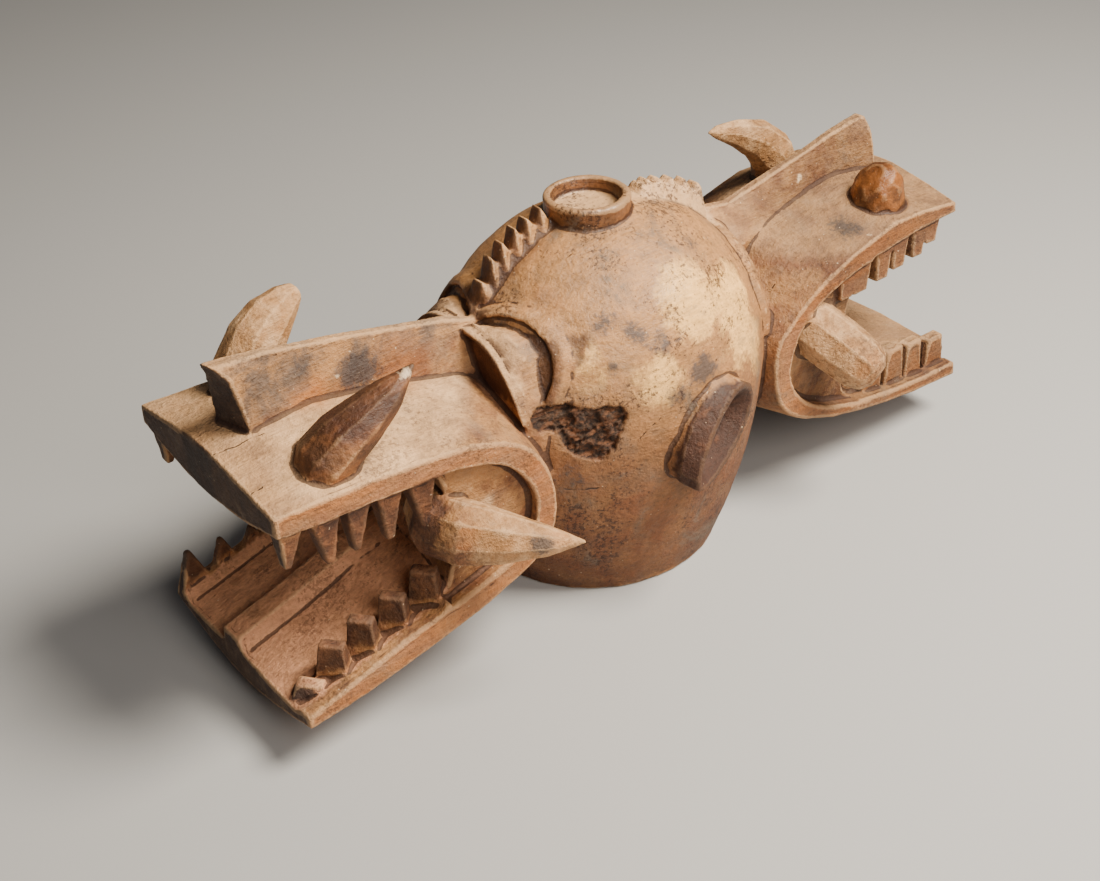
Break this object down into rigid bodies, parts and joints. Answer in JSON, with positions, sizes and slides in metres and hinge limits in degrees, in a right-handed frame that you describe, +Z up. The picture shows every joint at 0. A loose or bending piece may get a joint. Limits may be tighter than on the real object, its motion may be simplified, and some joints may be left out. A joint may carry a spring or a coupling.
{
  "type": "helmet mask",
  "caption": "Carved wooden helmet mask with two long open-jawed animal heads back to back, horns, tusks, a crest and a small cup on the crown. Worn over the head.",
  "frame": {"origin": "middle of the bounding box at its base, in the plane of the helmet's open rim", "axes": "+Z up, +X along the mask toward the second head, which has the blunt horn on its -Y side; the toothed head with the eyes looks along -X"},
  "size_m": [0.7225, 0.3138, 0.314],
  "materials": {
    "wood": "old hand-carved wood with a worn, patchy brown patina"
  },
  "bodies": {
    "root": {"helmet_mask": "wood"}
  },
  "joints": []
}
